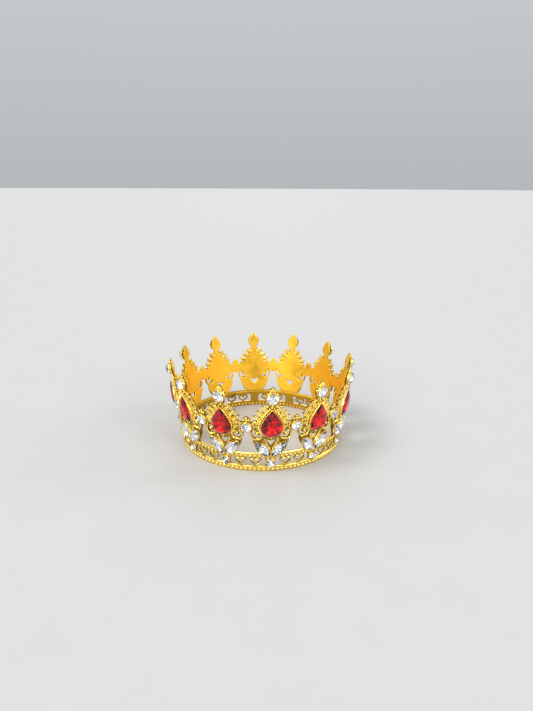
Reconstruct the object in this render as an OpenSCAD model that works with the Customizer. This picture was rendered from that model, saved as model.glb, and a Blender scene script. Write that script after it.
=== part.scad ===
// A small openwork crown. Twelve castings, the points, stand on a pierced band and lean outward.
// A bridge with a stone cup joins each point to the next, and every stone is glued into a cup.
//
// Each point is drawn flat, in a frame of its own: u runs across, s runs up the slope from the
// line where the band bends outward, and w stands out of the front face.

/* [Crown] */
// Number of points round the crown
point_count = 12; // [8:1:12]
// Outer radius of the band's wall
wall_r = 42.9; // [42:0.1:70]
// Thickness of the band's wall and of the castings
wall_t = 1; // [0.9:0.05:2]
// Angle by which the points lean outward
lean = 9; // [0:1:20]

/* [Band] */
// Height of the band
band_h = 9.9; // [9:0.1:14]
// Height of the lip at the band's top, above the bend where the wall leans outward
lip_h = 1.5; // [1.2:0.1:1.9]
// Height of each bead row
bead_h = 1.9; // [1.2:0.1:2.4]
// Diameter of a bead
bead_d = 1.9; // [1.2:0.05:2]
// Beads in each row between two points
beads_per_pitch = 10; // [8:1:14]
// Height of the plain rim beside each bead row
rim_h = 0.9; // [0.6:0.1:1.2]
// How far the rims and the beads stand out of the wall
rim_proud = 0.45; // [0.2:0.05:0.8]
// Width of a heart's own outline at its shoulders
heart_w = 6; // [5:0.1:6.6]
// Width of the solid plate behind a band stone
plate_w = 5.6; // [5:0.1:6.5]

/* [Stones] */
// Length of a pear stone
pear_len = 14; // [11:0.1:17]
// Width of a pear stone
pear_wid = 10; // [8:0.1:12]
// Length of a navette stone
navette_len = 10; // [8:0.1:12]
// Width of a navette stone
navette_wid = 4.8; // [4:0.1:6]
// Diameter of a crest stone
crest_stone_d = 5.4; // [4.5:0.1:6.6]
// Diameter of a bridge stone
bridge_stone_d = 4.8; // [4:0.1:5.8]
// Diameter of a band stone
band_stone_d = 4.1; // [3.4:0.1:4.4]
// Glue line round each stone
stone_gap = 0.05; // [0.02:0.01:0.12]
// Thickness of the wall of each stone cup
cup_wall = 0.6; // [0.5:0.05:0.9]

/* [Point] */
// Height up the slope at which the pear stone starts
pear_foot = 11.9; // [11.5:0.1:14]
// Length of the neck between the pear stone's tip and the crest stone's edge
neck_len = 3.7; // [3:0.05:9]
// Width of the neck
neck_w = 3.3; // [2.6:0.1:4.4]
// Height of the crest's tip above the crest stone's edge
tip_len = 2.55; // [2:0.05:5]
// Length of a side leaf
leaf_len = 4.9; // [4:0.1:6]
// Width of a side leaf
leaf_w = 2.2; // [1.6:0.1:2.8]
// Height up the slope of a side scroll's centre
scroll_s = 12.2; // [11.8:0.1:13]
// Outer radius of a side scroll
scroll_r = 3.15; // [2.6:0.05:3.4]
// Width of the strip round a scroll's opening
scroll_strip = 0.85; // [0.7:0.05:1.4]
// Gap between the scrolls of two neighbouring points
scroll_gap = 3.4; // [2:0.1:12]
// Slope of the navette stones
navette_tilt = 50; // [42:1:54]
// Lowest point of the navette stones, up the slope
navette_foot = 0.45; // [0.2:0.05:0.8]
// Space between the feet of the two navette stones
navette_split = 1.4; // [1.3:0.1:3]

/* [Bridge] */
// Height up the slope of the bridge stone's centre
bridge_s = 16.5; // [16:0.1:18]
// Half the width of a bridge, from joint to joint
bridge_half = 3.7; // [3.6:0.1:9]
// Height of a bridge's arms
arm_h = 4.2; // [3:0.1:5]
// Height of the bridge's tip above its arms
bridge_tip = 2.9; // [1.5:0.1:4]

/* [Hidden] */
$fn = 64;
ring_fn = 180;           // steps of the circles that run round the whole crown
pitch = 360 / point_count;
gold = [0.93, 0.68, 0.17];
red = [0.72, 0.02, 0.06];
clear = [0.9, 0.93, 0.96, 0.8];
cut = 10;                // length of a tool that cuts right through
root = 0.6;              // how far a cup is rooted in the wall
slope_top = 60;          // beyond the crest's tip
bend_z = band_h - lip_h; // height at which the wall bends outward

// Heights above the front face: where each kind of stone rests, and how far it stands out.
pear_seat = 0.8;
pear_top = 3.1;
round_seat = 0.7;
crest_top = 3;
bridge_top = 2.4;
navette_seat = 0.5;
navette_top = 2.25;
band_seat = 0.15;
band_top = 1.4;
cup_h = 0.75;            // height of a cup's rim above its seat
plate_edge = cup_wall - 0.12;    // the plate under a cup ends just inside the cup's wall

// Places on a point, up the slope.
pear_s = pear_foot + pear_len / 2;
crest_s = pear_foot + pear_len + neck_len + crest_stone_d / 2;
tip_s = crest_s + crest_stone_d / 2 + tip_len;
arm_lo = bridge_s - arm_h / 2 + 0.6;
arm_hi = arm_lo + arm_h;
bead_z = band_h - rim_h - bead_h + 0.4;   // foot of the upper bead row
fret_lo = bead_h + rim_h;
fret_hi = bead_z;
window_edge = 0.1;       // plain wall left between a window and the rim or beads
bead_out = wall_r + 0.35 * bead_d;        // how far out the beads reach
bead_root = 0.1;         // thickness of the bead rows' own strip over the wall
band_stone_z = (fret_lo + fret_hi) / 2 - 0.7;

function slope_r(s) = wall_r + s * sin(lean);
function pitch_half(s) = slope_r(s) * sin(pitch / 2);
joint_angle = pitch / 2 - asin(bridge_half / slope_r(bridge_s));
scroll_u = pitch_half(scroll_s) - scroll_gap / 2 - scroll_r;

// Outlines. A pear is the teardrop curve; its widest place is where the sine product peaks.
pear_peak = 0.7698;
function pear_at(t, len, wid) = [wid / 2 / pear_peak * sin(t) * sin(t / 2), len / 2 * cos(t)];
function pear_points(len, wid, n) = [for (i = [0:n - 1]) pear_at(360 * i / n, len, wid)];
function navette_radius(len, wid) = (len * len + wid * wid) / wid / 4;
function navette_side(len, wid, n) =
    let (r = navette_radius(len, wid), a = asin(len / 2 / r))
    [for (i = [0:n - 1]) [r * cos(a - 2 * a * i / n) - (r - wid / 2), r * sin(a - 2 * a * i / n)]];
function navette_points(len, wid, n) =
    let (side = navette_side(len, wid, n / 2)) concat(side, [for (p = side) [-p[0], -p[1]]]);
function round_points(d, n) = [for (i = [0:n - 1]) [d / 2 * sin(360 * i / n), d / 2 * cos(360 * i / n)]];
function flipped(points) = [for (i = [len(points) - 1:-1:0]) points[i]];

// Frames: of a point, of a place beside its centre line, and of a place on the upright band.
module at_point(i)
    rotate([0, 0, i * pitch]) translate([0, -wall_r, bend_z]) rotate([90 + lean, 0, 0]) children();
module beside(i, u, s) at_point(i + asin(u / slope_r(s)) / pitch) translate([0, s, 0]) children();
module on_band(i, z)
    rotate([0, 0, i * pitch]) translate([0, -wall_r, z]) rotate([90, 0, 0]) children();
module both_sides() {
    children();
    mirror([1, 0, 0]) children();
}

// The sloping shell that every point and bridge is cut from, above the band.
module shell_profile(lowest) {
    top = slope_top * [sin(lean), cos(lean)];
    inward = wall_t * [-cos(lean), sin(lean)];
    front = [wall_r, bend_z];
    intersection() {
        polygon([front, front + top, front + top + inward, front + inward]);
        translate([0, lowest]) square([2 * wall_r, slope_top]);
    }
}
module shell(lowest) rotate_extrude($fn = ring_fn) shell_profile(lowest);

// The space that the band fills with its rims and beads, which a point's foot laps in front of.
module band_space() rotate_extrude($fn = ring_fn)
    polygon([[wall_r - 3 * wall_t, -1], [bead_out, -1], [bead_out, band_h - rim_h],
             [wall_r + rim_proud, band_h - rim_h], [wall_r + rim_proud, band_h],
             [wall_r - 3 * wall_t, band_h]]);

// Stones: a faceted solid through rings, each a share of the girdle's outline at a height.
module gem(outline, rings) {
    n = len(outline);
    m = len(rings);
    polyhedron(
        [for (r = rings, p = outline) [p[0] * r[0], p[1] * r[0], r[1]]],
        concat(
            [[for (i = [0:n - 1]) i]],
            [for (j = [0:m - 2], i = [0:n - 1])
                [j * n + i, (j + 1) * n + i, (j + 1) * n + (i + 1) % n, j * n + (i + 1) % n]],
            [[for (i = [n - 1:-1:0]) (m - 1) * n + i]]));
}
function gem_rings(seat, top) =
    let (girdle = seat + (top - seat) * 0.42)
    [[0.6, seat], [1, girdle], [1, girdle + 0.2], [0.86, girdle + (top - girdle) * 0.55], [0.55, top]];

// Cups: a solid foot rooted in the wall, with a seat for the stone sunk in it.
module cup(seat) linear_extrude(seat + cup_h + root) children();
module seat_tool(seat) translate([0, 0, seat]) linear_extrude(cut) children();

module pear_shape(extra) polygon(pear_points(pear_len + 2.6 * extra, pear_wid + 2 * extra, 36));
module navette_shape(extra) {
    r = navette_radius(navette_len, navette_wid) + extra;
    middle = navette_radius(navette_len, navette_wid) - navette_wid / 2;
    intersection() {
        translate([middle, 0]) circle(r);
        translate([-middle, 0]) circle(r);
    }
}

// The two navettes spread from the foot like leaves.
navette_reach = navette_len / 2 * [cos(navette_tilt), sin(navette_tilt)];
navette_u = navette_split / 2 + navette_reach[0];
navette_s = navette_foot + navette_reach[1];
module at_navette(i, side)
    beside(i, side * navette_u, navette_s) rotate([0, 0, side * (navette_tilt - 90)]) children();
module at_navettes(i) for (side = [-1, 1]) at_navette(i, side) children();

// A side leaf: straight, with a round end.
leaf_turns = [45, 66, 86];    // where each leaf leaves the pear's outline
leaf_slopes = [52, 41, 33];
leaf_shares = [0.82, 1, 1];   // length of each, against the side leaf
module leaf(length) {
    end_r = leaf_w / 5;
    polygon([[-leaf_w / 2, -leaf_w / 2], [0.45 * length, -leaf_w / 2], [length - end_r, -end_r],
             [length - end_r, end_r], [0.45 * length, leaf_w / 2], [-leaf_w / 2, leaf_w / 2]]);
    translate([length - end_r, 0]) circle(end_r);
}
module leaves() for (i = [0:2]) {
    from = pear_at(leaf_turns[i], pear_len, pear_wid);
    translate([from[0], pear_s + from[1]]) rotate(leaf_slopes[i]) leaf(leaf_len * leaf_shares[i]);
}

// The scroll's opening is a C that leaves a curl joined to the plate.
module scroll_opening() {
    outer = scroll_r - scroll_strip;
    translate([scroll_u, scroll_s]) difference() {
        circle(outer);
        circle(0.4 * outer);
        polygon([[0, 0], 2 * outer * [cos(60), sin(60)], 2 * outer * [cos(130), sin(130)],
                 2 * outer * [cos(200), sin(200)]]);
    }
}
module heart_opening() {
    low = navette_s + 0.6;
    high = pear_foot - 3.3;
    polygon([[0, high], [1.3, high + 0.3], [2.5, high], [0, low], [-2.5, high], [-1.3, high + 0.3]]);
}

// The crest: a round plate behind the stone, a tip above it and a neck below it.
crest_r = crest_stone_d / 2 + cup_wall + 0.05;
tip_r = 1.25;
neck_low = 0.55 * neck_len;   // where the crest's flare ends, above the pear stone
module crest_outline() {
    shoulder = 0.62 * crest_r;
    translate([0, crest_s]) circle(crest_r);
    translate([0, tip_s - tip_r]) circle(tip_r);
    polygon([[-shoulder, crest_s + 0.75 * crest_r], [shoulder, crest_s + 0.75 * crest_r],
             [tip_r * 0.96, tip_s - tip_r * 0.75], [-tip_r * 0.96, tip_s - tip_r * 0.75]]);
    polygon([[-0.93 * crest_r, crest_s - 0.33 * crest_r], [-neck_w / 2, pear_foot + pear_len + neck_low],
             [neck_w / 2, pear_foot + pear_len + neck_low], [0.93 * crest_r, crest_s - 0.33 * crest_r]]);
    translate([-neck_w / 2, pear_s]) square([neck_w, pear_foot + pear_len + neck_low + 0.1 - pear_s]);
}

// The shoulder reaches from the pear stone past the joint, where the bridge's sector trims it.
module shoulder_outline() {
    joint_u = slope_r(arm_lo) * sin(joint_angle);
    edge = scroll_u + scroll_r;
    polygon([[0, pear_foot], [3, pear_foot], [edge - 1.5, scroll_s], [edge - 0.1, scroll_s + 0.6],
             [edge + 1.2, arm_lo], [joint_u + 1, arm_hi], [joint_u, arm_hi],
             [pear_wid / 2 + 0.9, arm_hi + 1.6], [0, arm_hi + 1.6]]);
}
module web_outline() {
    edge = scroll_u + scroll_r - 1.2;
    polygon([[0, pear_foot + 1], [scroll_u - 1.5, pear_foot + 1], [edge, scroll_s - 2.2],
             [edge, navette_s + 4.2], [navette_u + 2, navette_s], [0, navette_s - 1.5]]);
}
module point_outline() difference() {
    union() {
        crest_outline();
        translate([0, pear_s]) pear_shape(plate_edge);
        both_sides() {
            leaves();
            shoulder_outline();
            web_outline();
            translate([scroll_u, scroll_s]) circle(scroll_r);
            translate([navette_u, navette_s]) rotate(navette_tilt - 90) navette_shape(plate_edge);
        }
    }
    both_sides() scroll_opening();
    heart_opening();
}

// A wedge of space round the crown's axis, centred on the bridge after point i.
module bridge_sector(i, foot) {
    half = pitch / 2 - joint_angle;
    far = 2 * wall_r;
    rotate([0, 0, (i + 0.5) * pitch]) translate([0, 0, foot]) linear_extrude(slope_top)
        polygon([[0, 0], far * [-tan(half), -1], far * [tan(half), -1]]);
}
arm_foot = bend_z + arm_lo * cos(lean);

// The round space of the bridge's cup after point i, which the points keep clear of.
module bridge_cup_space(i) at_point(i + 0.5) translate([0, bridge_s, -cut])
    linear_extrude(2 * cut) circle(bridge_stone_d / 2 + cup_wall + stone_gap);

module point(i) color(gold) difference() {
    union() {
        difference() {
            intersection() {
                shell(band_h);
                at_point(i) translate([0, 0, -cut]) linear_extrude(2 * cut) point_outline();
            }
            bridge_sector(i, arm_foot);
            bridge_sector(i - 1, arm_foot);
            bridge_cup_space(i);
            bridge_cup_space(i - 1);
        }
        at_point(i) translate([0, pear_s, -root]) cup(pear_seat) pear_shape(cup_wall);
        at_point(i) translate([0, crest_s, -root]) cup(round_seat) circle(crest_stone_d / 2 + cup_wall);
        at_navettes(i) translate([0, 0, -root]) cup(navette_seat) navette_shape(cup_wall);
        scroll_wires(i);
    }
    band_space();
    at_point(i) translate([0, pear_s, 0]) seat_tool(pear_seat) pear_shape(stone_gap);
    at_point(i) translate([0, crest_s, 0]) seat_tool(round_seat) circle(crest_stone_d / 2 + stone_gap);
    at_navettes(i) seat_tool(navette_seat) navette_shape(stone_gap);
}

// A raised wire follows the outer side of each scroll.
wire_w = 0.8;
module scroll_wires(i) for (side = [-1, 1]) beside(i, side * scroll_u, scroll_s)
    translate([0, 0, -root]) linear_extrude(root + 0.55) difference() {
        circle(scroll_r - 0.15);
        circle(scroll_r - 0.15 - wire_w);
        rotate(side > 0 ? 110 : -20) square(2 * scroll_r);
    }

module bridge_outline() {
    reach = 2 * bridge_half;
    translate([0, bridge_s]) circle(bridge_stone_d / 2 + plate_edge);
    translate([-reach, arm_lo]) square([2 * reach, arm_h]);
    polygon([[-2.1, arm_hi - 0.1], [2.1, arm_hi - 0.1], [1, arm_hi + bridge_tip - 0.7],
             [-1, arm_hi + bridge_tip - 0.7]]);
    translate([0, arm_hi + bridge_tip - 1]) circle(1);
}
module bridge(i) color(gold) difference() {
    union() {
        intersection() {
            shell(band_h);
            at_point(i + 0.5) translate([0, 0, -cut]) linear_extrude(2 * cut) bridge_outline();
            bridge_sector(i, 0);
        }
        at_point(i + 0.5) translate([0, bridge_s, -root])
            cup(round_seat) circle(bridge_stone_d / 2 + cup_wall);
    }
    at_point(i + 0.5) translate([0, bridge_s, 0])
        seat_tool(round_seat) circle(bridge_stone_d / 2 + stone_gap);
}

// The band: an upright wall that bends outward at its top, with two bead rows and two rims.
module wall_profile() {
    bend = (band_h - bend_z) * tan(lean);
    inner = wall_r - wall_t;
    polygon([[inner, 0], [wall_r, 0], [wall_r, bead_h], [wall_r + rim_proud, bead_h],
             [wall_r + rim_proud, fret_lo], [wall_r, fret_lo], [wall_r, band_h - rim_h],
             [wall_r + rim_proud, band_h - rim_h], [wall_r + rim_proud, band_h],
             [inner + bend, band_h], [inner, bend_z]]);
}
module bead_row(foot, height) translate([0, 0, foot]) linear_extrude(height) difference() {
    union() {
        circle(wall_r + bead_root, $fn = ring_fn);
        for (i = [0:point_count * beads_per_pitch - 1])
            rotate((i + 0.5) * pitch / beads_per_pitch)
                translate([0, bead_d / 2 - bead_out]) circle(bead_d / 2);
    }
    circle(wall_r - wall_t / 2, $fn = ring_fn);
}
module heart_window() {
    h = fret_hi - fret_lo;
    w = heart_w / 2 - 0.9;
    polygon([[0, fret_lo + 0.19 * h], [w, fret_lo + 0.72 * h], [w * 0.75, fret_lo + 0.88 * h],
             [0, fret_lo + 0.6 * h], [-w * 0.75, fret_lo + 0.88 * h], [-w, fret_lo + 0.72 * h]]);
}
module side_window(left_top, right_top, left_foot, right_foot) {
    low = fret_lo + window_edge;
    high = fret_hi - window_edge;
    mid = low + 0.72 * (high - low);
    polygon([[left_top, high], [right_top, high], [right_top, mid], [right_foot, low],
             [left_foot, low], [left_top, mid]]);
}
heart_at = pitch / 3;
module windows(i) {
    third = wall_r * sin(heart_at);
    edge = third - heart_w / 2;
    for (side = [-1, 1]) {
        on_band(i + side / 3, 0) linear_extrude(2 * cut, center = true) heart_window();
        on_band(i, 0) linear_extrude(2 * cut, center = true) mirror([side < 0 ? 1 : 0, 0])
            side_window(plate_w / 2, edge, plate_w / 2 - 0.7, third - 1.2);
    }
    gap = wall_r * sin(heart_at / 2) - heart_w / 2;
    on_band(i + 0.5, 0) linear_extrude(2 * cut, center = true)
        side_window(-gap, gap, 1.2 - wall_r * sin(heart_at / 2), wall_r * sin(heart_at / 2) - 1.2);
}
module band() color(gold) difference() {
    union() {
        difference() {
            rotate_extrude($fn = ring_fn) wall_profile();
            for (i = [0:point_count - 1]) windows(i);
        }
        bead_row(0, bead_h);
        bead_row(bead_z, band_h - rim_h - bead_z);
        for (i = [0:point_count - 1])
            on_band(i, band_stone_z) translate([0, 0, -root]) cup(band_seat) circle(band_stone_d / 2 + cup_wall);
    }
    for (i = [0:point_count - 1])
        on_band(i, band_stone_z) seat_tool(band_seat) circle(band_stone_d / 2 + stone_gap);
}

module pear_stone(i) color(red) at_point(i) translate([0, pear_s, 0])
    gem(pear_points(pear_len, pear_wid, 20), gem_rings(pear_seat, pear_top));
module navette_pair(i) color(clear) at_navettes(i)
    gem(flipped(navette_points(navette_len, navette_wid, 12)), gem_rings(navette_seat, navette_top));
module crest_stones() color(clear) for (i = [0:point_count - 1])
    at_point(i) translate([0, crest_s, 0])
        gem(round_points(crest_stone_d, 16), gem_rings(round_seat, crest_top));
module bridge_stones() color(clear) for (i = [0:point_count - 1])
    at_point(i + 0.5) translate([0, bridge_s, 0])
        gem(round_points(bridge_stone_d, 16), gem_rings(round_seat, bridge_top));
module band_stones() color(clear) for (i = [0:point_count - 1])
    on_band(i, band_stone_z) gem(round_points(band_stone_d, 12), gem_rings(band_seat, band_top));

function numbered(name, i) = str(name, "_", i < 9 ? "0" : "", i + 1);
each_point = [0:point_count - 1];

band();  // fret_band
crest_stones();
bridge_stones();
band_stones();
for (i = each_point) {
    point(i);
    bridge(i);
    pear_stone(i);
    navette_pair(i);
}
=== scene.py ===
"""A small gold crown: a pierced and beaded band, twelve leaning castings joined by bridges, and stones on foil.

Lengths are millimetres until a piece becomes a mesh, which is in metres. Each repeated piece is drawn once, at
the crown's front, and its copies are turned round the crown's axis. A place on a leaning casting is written
(u, s, w): u runs across, s runs up the slope from the line where the wall bends outward, and w stands out of
the wall's front face.
"""
import logging
import math
from dataclasses import dataclass, field
from enum import Enum
from typing import Callable, Sequence

import bmesh
import bpy
import numpy as np
from mathutils import Matrix, Vector
from numpy.typing import NDArray


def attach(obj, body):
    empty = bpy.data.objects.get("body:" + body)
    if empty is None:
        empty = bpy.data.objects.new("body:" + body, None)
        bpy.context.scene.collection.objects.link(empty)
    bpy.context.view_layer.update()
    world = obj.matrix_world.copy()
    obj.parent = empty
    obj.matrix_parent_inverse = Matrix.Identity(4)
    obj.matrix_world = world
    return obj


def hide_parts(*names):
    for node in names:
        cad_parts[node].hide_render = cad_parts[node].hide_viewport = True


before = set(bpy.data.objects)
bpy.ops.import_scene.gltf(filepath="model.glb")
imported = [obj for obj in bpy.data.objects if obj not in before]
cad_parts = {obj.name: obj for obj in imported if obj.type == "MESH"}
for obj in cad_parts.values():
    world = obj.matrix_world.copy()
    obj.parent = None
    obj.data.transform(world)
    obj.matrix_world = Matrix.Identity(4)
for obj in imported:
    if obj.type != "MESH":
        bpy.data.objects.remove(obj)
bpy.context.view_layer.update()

Array = NDArray[np.float64]
Outline = Callable[[Array, Array], Array]
Lay = Callable[[Array, Array, Array], Array]

LOG = logging.getLogger("crown")
MM = 0.001
BODY = "root"


class Slot(Enum):
    """The record's material slots."""

    GOLD = "gold"
    RED = "red_stone"
    CLEAR = "clear_stone"


# ---------------------------------------------------------------- places


@dataclass(frozen=True)
class Wall:
    """The crown's own surface: an upright ring below the bend, and a cone that leans outward above it."""

    radius: float = 42.9
    thick: float = 1.0
    lean: float = math.radians(9)
    bend_z: float = 8.4
    top_z: float = 9.9
    count: int = 12

    @property
    def pitch(self) -> float:
        """Angle from one point to the next."""
        return 2 * math.pi / self.count

    def cone_radius(self, s: Array | float) -> Array | float:
        """Radius of the leaning wall's front at slope height s: the bend's radius plus s times the sine of the
        lean."""
        return self.radius + s * math.sin(self.lean)

    def on_slope(self, u: Array, s: Array, w: Array) -> Array:
        """Places of the leaning wall. The azimuth is the arc sine of u over the cone's radius, and w is added
        along the cone's normal.

        Args:
            u: Distances across, from the point's centre line.
            s: Distances up the slope.
            w: Heights over the front face.

        Returns:
            Places, with one more axis than the arguments.
        """
        u, s, w = np.broadcast_arrays(u, s, w)
        radius = self.cone_radius(s)
        turn = np.arcsin(np.clip(u / radius, -0.999, 0.999))
        out = radius + w * math.cos(self.lean)
        rise = self.bend_z + s * math.cos(self.lean) - w * math.sin(self.lean)
        return np.stack([out * np.sin(turn), -out * np.cos(turn), rise], axis=-1)

    def on_band(self, u: Array, z: Array, w: Array) -> Array:
        """Places of the band. The azimuth is the arc u over the wall's radius. The wall leans above the bend.

        Args:
            u: Arc lengths from the point's centre line.
            z: Heights.
            w: Heights over the front face.

        Returns:
            Places, with one more axis than the arguments.
        """
        u, z, w = np.broadcast_arrays(u, z, w)
        out = self.radius + np.maximum(z - self.bend_z, 0) * math.tan(self.lean) + w
        turn = u / self.radius
        return np.stack([out * np.sin(turn), -out * np.cos(turn), z], axis=-1)

    def seat_on_slope(self, u: float, s: float, spin: float = 0.0) -> "Seat":
        """A flat frame that touches the leaning wall at (u, s), spun in its own plane."""
        turn = math.asin(u / self.cone_radius(s))
        across = np.array([math.cos(turn), math.sin(turn), 0.0])
        out = np.array([math.sin(turn) * math.cos(self.lean), -math.cos(turn) * math.cos(self.lean),
                        -math.sin(self.lean)])
        up = np.cross(out, across)
        origin = self.on_slope(np.array(u), np.array(s), np.array(0.0))
        return Seat(origin, across * math.cos(spin) + up * math.sin(spin),
                    up * math.cos(spin) - across * math.sin(spin), out)

    def seat_on_band(self, z: float) -> "Seat":
        """A flat frame that touches the band's wall in front, at height z."""
        return Seat(np.array([0.0, -self.radius, z]), np.array([1.0, 0.0, 0.0]), np.array([0.0, 0.0, 1.0]),
                    np.array([0.0, -1.0, 0.0]))


@dataclass(frozen=True)
class Seat:
    """A flat frame for a stone and its cup."""

    origin: Array
    across: Array
    up: Array
    out: Array

    def place(self, p: Array, q: Array, w: Array) -> Array:
        """Places at p across, q up and w out: the origin plus each distance along its own direction."""
        p, q, w = np.broadcast_arrays(p, q, w)
        return self.origin + p[..., None] * self.across + q[..., None] * self.up + w[..., None] * self.out


# ---------------------------------------------------------------- surfaces


@dataclass
class Patch:
    """A closed surface in millimetres, with three shares at each place: satin, recess, which sets painted
    shade on the gold, and facet light, which sets painted light and shade on the foil's facets.
    """

    places: Array
    faces: list[NDArray[np.int64]]
    shares: Array

    def tagged(self, satin: float = 0.0, recess: float = 0.0, facet_light: float = 0.0) -> "Patch":
        """The same surface with the same three shares all over."""
        shares = np.broadcast_to(np.array([satin, recess, facet_light]), (len(self.places), 3))
        return Patch(self.places, self.faces, shares.copy())

    def turned(self, angle: float) -> "Patch":
        """The same surface turned round the crown's axis."""
        c, s = math.cos(angle), math.sin(angle)
        return Patch(self.places @ np.array([[c, s, 0], [-s, c, 0], [0, 0, 1]]), self.faces, self.shares)

    def mirrored(self) -> "Patch":
        """The same surface on the other side of the point's centre line."""
        return Patch(self.places * np.array([-1.0, 1.0, 1.0]), self.faces, self.shares)


def joined(patches: Sequence[Patch]) -> Patch:
    """One surface from several, with each one's corners counted on from the last."""
    starts = np.cumsum([0] + [len(p.places) for p in patches])
    return Patch(np.concatenate([p.places for p in patches]),
                 [block + start for p, start in zip(patches, starts) for block in p.faces],
                 np.concatenate([p.shares for p in patches]))


def both_sides(patches: Sequence[Patch]) -> list[Patch]:
    """Each surface and its mirror image."""
    return [q for p in patches for q in (p, p.mirrored())]


def woven(places: Array, wrap_first: bool = False) -> Patch:
    """A grid of places as quads. Its second direction closes on itself. Its ends are poles unless the first
    direction closes too.

    Args:
        places: Grid of places, (rows, columns, 3).
        wrap_first: Whether the last row meets the first.

    Returns:
        The surface.
    """
    rows, columns = places.shape[:2]
    index = np.arange(rows * columns).reshape(rows, columns)
    above = np.roll(index, -1, axis=0) if wrap_first else index[1:]
    here = index if wrap_first else index[:-1]
    quads = np.stack([here, np.roll(here, -1, axis=1), np.roll(above, -1, axis=1), above], axis=-1)
    flat = places.reshape(-1, 3)
    return Patch(flat, [quads.reshape(-1, 4)], np.zeros((len(flat), 3)))


def ribbon(path: Array, half: Array | float, rise: Array | float, base: Array | float = 0.0, root: float = 0.35,
           groove: float = 0.0, closed: bool = False, sides: int = 10) -> Array:
    """A raised strip along a path: an egg-shaped section whose upper half is the rise and whose lower half is
    the root, with a groove along its middle.

    Args:
        path: Corners of the path, (n, 2).
        half: Half the strip's width, at each corner or all along.
        rise: Height over the base.
        base: Height of the base over the wall.
        root: Depth below the base.
        groove: Share of the rise that the groove takes away.
        closed: Whether the path meets its own start.
        sides: Places round the section.

    Returns:
        Grid of (u, s, w), (n, sides, 3).
    """
    if closed:
        along = np.roll(path, -1, axis=0) - np.roll(path, 1, axis=0)
    else:
        along = np.gradient(path, axis=0)
    along = along / np.maximum(np.linalg.norm(along, axis=1, keepdims=True), 1e-9)
    side = np.stack([-along[:, 1], along[:, 0]], axis=1)
    turn = 2 * math.pi * np.arange(sides) / sides
    half, rise, base = (np.broadcast_to(np.asarray(x, float), (len(path),)) for x in (half, rise, base))
    across = half[:, None] * np.cos(turn)
    dip = 1 - groove * np.exp(-((np.cos(turn) / 0.3) ** 2))
    closing = np.minimum(half / max(half.max(), 1e-9) * 3, 1)[:, None]
    up = base[:, None] + np.where(np.sin(turn) > 0, rise[:, None] * np.sin(turn) * dip,
                                  root * np.sin(turn) * closing)
    u = path[:, :1] + across * side[:, :1]
    s = path[:, 1:] + across * side[:, 1:]
    return np.stack([u, s, up], axis=-1)


def laid(grid: Array, lay: Lay, wrap_first: bool = False) -> Patch:
    """A grid of (u, s, w) put on a wall or a seat. Its recess share, which sets the gold's painted shade,
    grows as w falls below 0.45 mm.
    """
    made = woven(lay(grid[..., 0], grid[..., 1], grid[..., 2]), wrap_first)
    made.shares[:, 1] = np.clip(1 - grid[..., 2].ravel() / 0.45, 0, 1)
    return made


def bead_string(centres: Array, radii: Array | float, rows: int = 5, columns: int = 8) -> Patch:
    """Beads at given places: each is a sphere, with its poles on the Z axis.

    Args:
        centres: Places, (n, 3).
        radii: Radius of each, or one for all.
        rows: Rings of faces from pole to pole.
        columns: Faces round each.

    Returns:
        All the beads as one surface.
    """
    fall = np.linspace(0, math.pi, rows + 1)[:, None]
    turn = 2 * math.pi * np.arange(columns) / columns
    ball = np.stack(np.broadcast_arrays(np.sin(fall) * np.cos(turn), np.sin(fall) * np.sin(turn), np.cos(fall)),
                    axis=-1)
    one = woven(ball)
    radii = np.broadcast_to(np.asarray(radii, float), (len(centres),))
    places = centres[:, None, :] + radii[:, None, None] * one.places[None]
    steps = np.arange(len(centres))[:, None, None] * len(one.places)
    flat = places.reshape(-1, 3)
    return Patch(flat, [(one.faces[0][None] + steps).reshape(-1, 4)], np.zeros((len(flat), 3)))


# ---------------------------------------------------------------- outlines: distances, less than 0 inside


def disc(u: Array, s: Array, cu: float, cs: float, r: float) -> Array:
    """Distance from a circle: from its centre, less its radius."""
    return np.hypot(u - cu, s - cs) - r


def bar(u: Array, s: Array, a: tuple[float, float], b: tuple[float, float], ra: float, rb: float) -> Array:
    """Distance from a tapered bar: from the nearest place of its middle line, less the radius there."""
    du, ds = b[0] - a[0], b[1] - a[1]
    t = np.clip(((u - a[0]) * du + (s - a[1]) * ds) / (du * du + ds * ds), 0, 1)
    return np.hypot(u - a[0] - t * du, s - a[1] - t * ds) - (ra + (rb - ra) * t)


def arc_bar(u: Array, s: Array, centre: tuple[float, float], r: float, middle: float, spread: float,
            half: float) -> Array:
    """Distance from a bent bar: from an arc that spreads to both sides of its middle direction, less half the
    bar's width."""
    du, ds = u - centre[0], s - centre[1]
    turn = np.arctan2(ds, du) - middle
    turn = (turn + math.pi) % (2 * math.pi) - math.pi
    turn = np.clip(turn, -spread, spread) + middle
    return np.hypot(du - r * np.cos(turn), ds - r * np.sin(turn)) - half


def loop(u: Array, s: Array, corners: Array) -> Array:
    """Distance from a closed outline: to its nearest edge, and less than 0 where a level ray crosses an odd
    number of edges."""
    flat_u, flat_s = np.ravel(u)[:, None], np.ravel(s)[:, None]
    a, b = corners, np.roll(corners, -1, axis=0)
    edge = b - a
    t = ((flat_u - a[:, 0]) * edge[:, 0] + (flat_s - a[:, 1]) * edge[:, 1]) / (edge ** 2).sum(axis=1)
    t = np.clip(t, 0, 1)
    far = np.hypot(flat_u - a[:, 0] - t * edge[:, 0], flat_s - a[:, 1] - t * edge[:, 1]).min(axis=1)
    rise = np.where(np.abs(edge[:, 1]) < 1e-9, 1e-9, edge[:, 1])
    crossed = ((a[:, 1] > flat_s) != (b[:, 1] > flat_s)) & (
        flat_u < a[:, 0] + (flat_s - a[:, 1]) / rise * edge[:, 0])
    inside = crossed.sum(axis=1) % 2 == 1
    return np.where(inside, -far, far).reshape(np.shape(u))


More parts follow.
